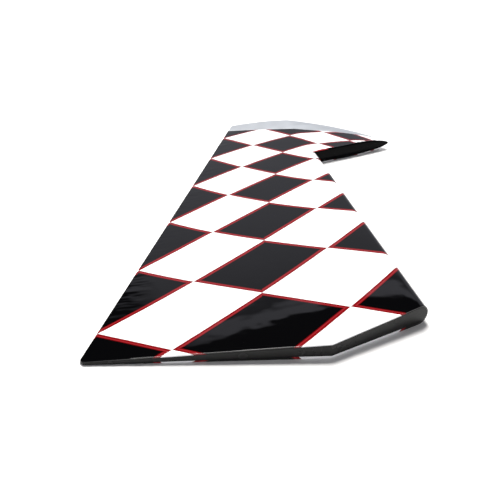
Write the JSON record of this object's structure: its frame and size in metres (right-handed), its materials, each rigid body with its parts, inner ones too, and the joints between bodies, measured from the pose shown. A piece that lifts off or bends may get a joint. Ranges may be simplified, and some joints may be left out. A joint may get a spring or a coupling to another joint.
{
  "type": "rc aeroplane rudder panel",
  "caption": "Film-covered balsa rudder panel with a round leading edge, a tapered section, a curved tip and a forward aerodynamic balance, lying on its side.",
  "frame": {"origin": "middle of the panel's box, on the flat left side that it lies on", "axes": "+Y up the hinge line, from the foot to the tip; +X forward, from the trailing edge to the balance; +Z through the thickness, out of the upper (right) side"},
  "size_m": [0.4284, 0.676, 0.019],
  "materials": {
    "film_printed": "glossy heat-shrink film, white with black diamonds edged in red",
    "film_black": "glossy black heat-shrink film",
    "film_silver": "light silver-grey heat-shrink film",
    "balsa": "bare sanded balsa",
    "hardwood": "bare hardwood"
  },
  "bodies": {
    "root": {"aft_end_rib": "balsa", "aft_foot_film": "film_black", "balance_base_rib": "balsa", "balance_foot_film": "film_black", "balance_nose_block": "balsa", "balance_rib_1": "balsa", "balance_rib_2": "balsa", "control_horn_block": "hardwood", "front_end_rib": "balsa", "front_foot_film": "film_black", "hinge_block_1": "hardwood", "hinge_block_2": "hardwood", "hinge_block_3": "hardwood", "hinge_block_4": "hardwood", "hinge_spar": "balsa", "leading_edge": "balsa", "leading_edge_film": "film_printed", "left_balance_film": "film_printed", "left_balance_skin": "balsa", "left_film": "film_printed", "left_skin": "balsa", "left_tip_film": "film_silver", "rib_1": "balsa", "rib_2": "balsa", "rib_3": "balsa", "rib_4": "balsa", "rib_5": "balsa", "rib_6": "balsa", "rib_7": "balsa", "rib_8": "balsa", "rib_9": "balsa", "right_balance_film": "film_printed", "right_balance_skin": "balsa", "right_film": "film_printed", "right_skin": "balsa", "right_tip_film": "film_silver", "tip_block": "balsa", "tip_trailing_film": "film_silver", "trailing_edge": "balsa", "trailing_edge_film": "film_printed"}
  },
  "joints": []
}
